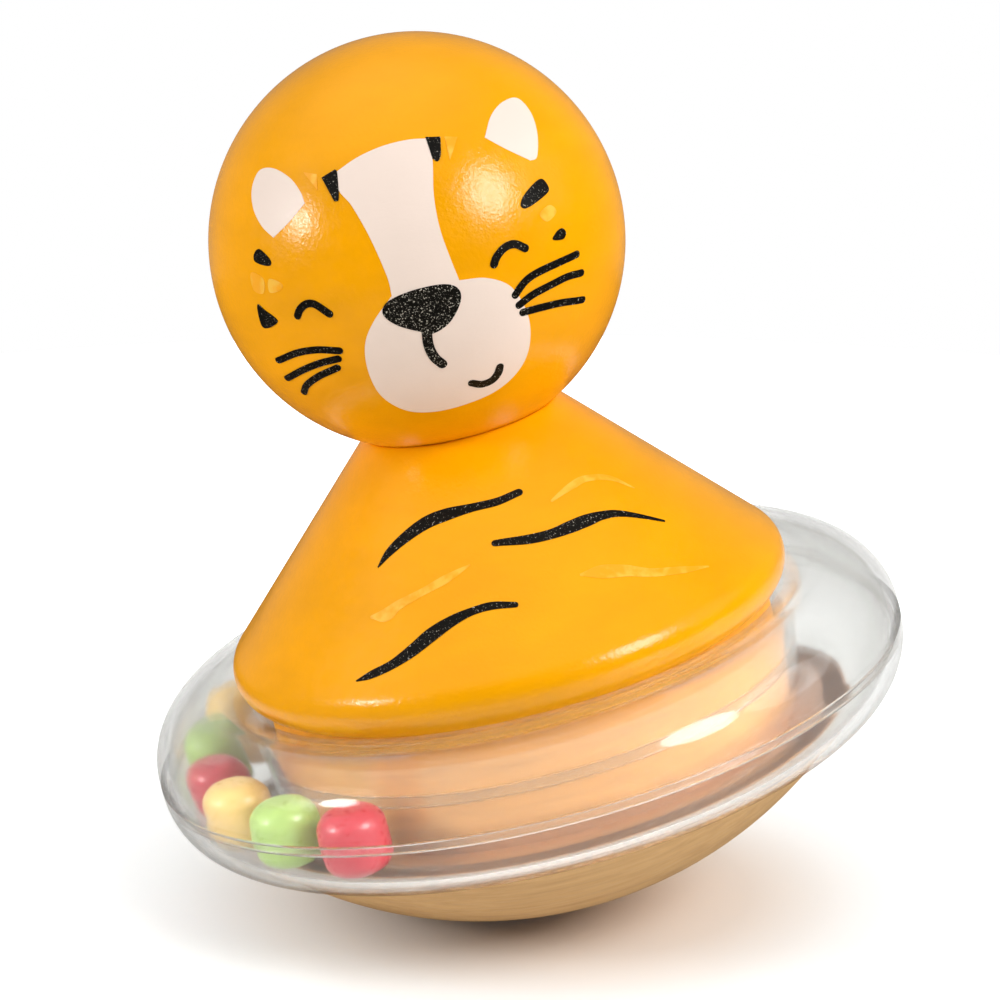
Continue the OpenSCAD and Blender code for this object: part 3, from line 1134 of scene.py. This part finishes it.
def floor_finish():
    """White floor that takes the toy's shadow, is painted warmer and darker close to it, glows to the camera
    further out and is clear from below.
    """
    material, tree, shader = new_material(
        "floor", Roughness=0.9, Specular_IOR_Level=0, Emission_Color=(1, 1, 1, 1)
    )
    # Colours of the light that the floor throws on the toy, and of its mirror image there
    thrown, mirrored = (0.86, 0.82, 0.76), (0.06, 0.06, 0.06)
    # Colours that the camera sees, close to the toy and further out; the warmer, darker one close to the toy
    # is painted shade with painted bounce light from the wood
    close, far = (0.74, 0.62, 0.52), (0.77, 0.79, 0.8)
    path = node(tree, "ShaderNodeLightPath").outputs
    coords = node(tree, "ShaderNodeTexCoord").outputs["Object"]
    span = node(tree, "ShaderNodeVectorMath", settings={"operation": "LENGTH"})
    tree.links.new(coords, span.inputs[0])
    away = span.outputs["Value"]
    seen = math_node(tree, "MAXIMUM", path["Is Camera Ray"], path["Is Transmission Ray"])
    lit = tint(tree, path["Is Glossy Ray"], thrown, mirrored)
    camera_colour_with_painted_shade = tint(tree, spread(tree, away, 0, 1, 0.008, 0.035), close, far)
    open_glow = math_node(tree, "MULTIPLY", path["Is Camera Ray"], spread(tree, away, 0.02, 1.0, 0.022, 0.1))
    ring_glow = math_node(tree, "MULTIPLY", path["Is Transmission Ray"], 0.3)
    glow = math_node(tree, "MAXIMUM", open_glow, ring_glow)
    feed(shader, Base_Color=tint(tree, seen, lit, camera_colour_with_painted_shade), Emission_Strength=glow)
    below = node(tree, "ShaderNodeNewGeometry").outputs["Backfacing"]
    surface = mixed(tree, below, shader, node(tree, "ShaderNodeBsdfTransparent"))
    tree.links.new(surface.outputs[0], tree.nodes["Material Output"].inputs["Surface"])
    return material


class TIGER_OT_stage(bpy.types.Operator):
    """Set up the floor that the toy leans on, the lamps and the camera of the photograph"""

    bl_idname = "tiger.stage"
    bl_label = "Stage"

    def execute(self, context):
        stage = context.scene.tiger_stage
        back = Vector((0, -cos(stage.elevation), sin(stage.elevation)))
        up = Vector((0, sin(stage.elevation), cos(stage.elevation)))
        level = Vector((1, 0, 0))
        right = level * cos(stage.roll) + up * sin(stage.roll)
        up = up * cos(stage.roll) - level * sin(stage.roll)
        aim = Vector((0, 0, HEAD_Z)) + right * stage.aim_across - up * stage.aim_down
        camera = bpy.data.objects.new("Camera", bpy.data.cameras.new("Camera"))
        context.scene.collection.objects.link(camera)
        camera.data.lens = stage.lens
        camera.data.sensor_width = SENSOR_WIDTH
        camera.data.clip_start = NEAR_CLIP
        camera.matrix_world = aimed(aim + back * stage.distance, back, up)
        context.scene.camera = camera

        # The floor is level in the picture, so it leans in the toy's frame and touches the dome off its foot
        normal = up * cos(stage.elevation) + back * sin(stage.elevation)
        middle, radius = dome_ball(context.scene.tiger_sizes)
        touch = Vector((0, 0, middle)) - normal * radius
        mesh = bpy.data.meshes.new("floor")
        turns = [tau * i / FLOOR_SIDES for i in range(FLOOR_SIDES)]
        spots = [(FLOOR_RADIUS * cos(turn), FLOOR_RADIUS * sin(turn), 0) for turn in turns]
        mesh.from_pydata(spots, [], [list(range(FLOOR_SIDES))])
        mesh.transform(aimed(touch, normal, up))
        new_object("floor", mesh, floor_finish())

        soft_lamp("Key", stage.key_power)
        soft_lamp("Fill", stage.fill_power)
        soft_lamp("Edge", stage.edge_power)
        soft_lamp("Glint", stage.glint_power)
        white_world(stage.sky)
        context.scene.view_settings.view_transform = "Standard"
        return {"FINISHED"}


class TIGER_PT_panel(bpy.types.Panel):
    """Buttons that build the toy piece by piece"""

    bl_idname = "TIGER_PT_panel"
    bl_label = "Roly-poly tiger"
    bl_space_type = "VIEW_3D"
    bl_region_type = "UI"
    bl_category = "Tiger"

    def draw(self, context):
        for operator in OPERATORS:
            self.layout.operator(operator.bl_idname)


GROUPS = (ToySizes, ToyColours, StageSettings)
OPERATORS = (
    TIGER_OT_head,
    TIGER_OT_body,
    TIGER_OT_base,
    TIGER_OT_ring,
    TIGER_OT_beads,
    TIGER_OT_face_white,
    TIGER_OT_face_black,
    TIGER_OT_face_gold,
    TIGER_OT_stripes,
    TIGER_OT_stage,
)
CLASSES = (*GROUPS, *OPERATORS, TIGER_PT_panel)


def register():
    """Make the classes known to Blender and put the property groups on the scene."""
    for item in CLASSES:
        bpy.utils.register_class(item)
    bpy.types.Scene.tiger_sizes = PointerProperty(type=ToySizes)
    bpy.types.Scene.tiger_colours = PointerProperty(type=ToyColours)
    bpy.types.Scene.tiger_stage = PointerProperty(type=StageSettings)


def unregister():
    """Take the property groups and the classes away again."""
    for name in ("tiger_sizes", "tiger_colours", "tiger_stage"):
        delattr(bpy.types.Scene, name)
    for item in reversed(CLASSES):
        bpy.utils.unregister_class(item)


def main():
    """Build the toy and its stage."""
    register()
    bpy.ops.tiger.head()
    bpy.ops.tiger.body()
    bpy.ops.tiger.base()
    bpy.ops.tiger.ring()
    bpy.ops.tiger.beads()
    bpy.ops.tiger.face_white()
    bpy.ops.tiger.face_black()
    bpy.ops.tiger.face_gold()
    bpy.ops.tiger.stripes()
    bpy.ops.tiger.stage()


if __name__ == "__main__":
    main()
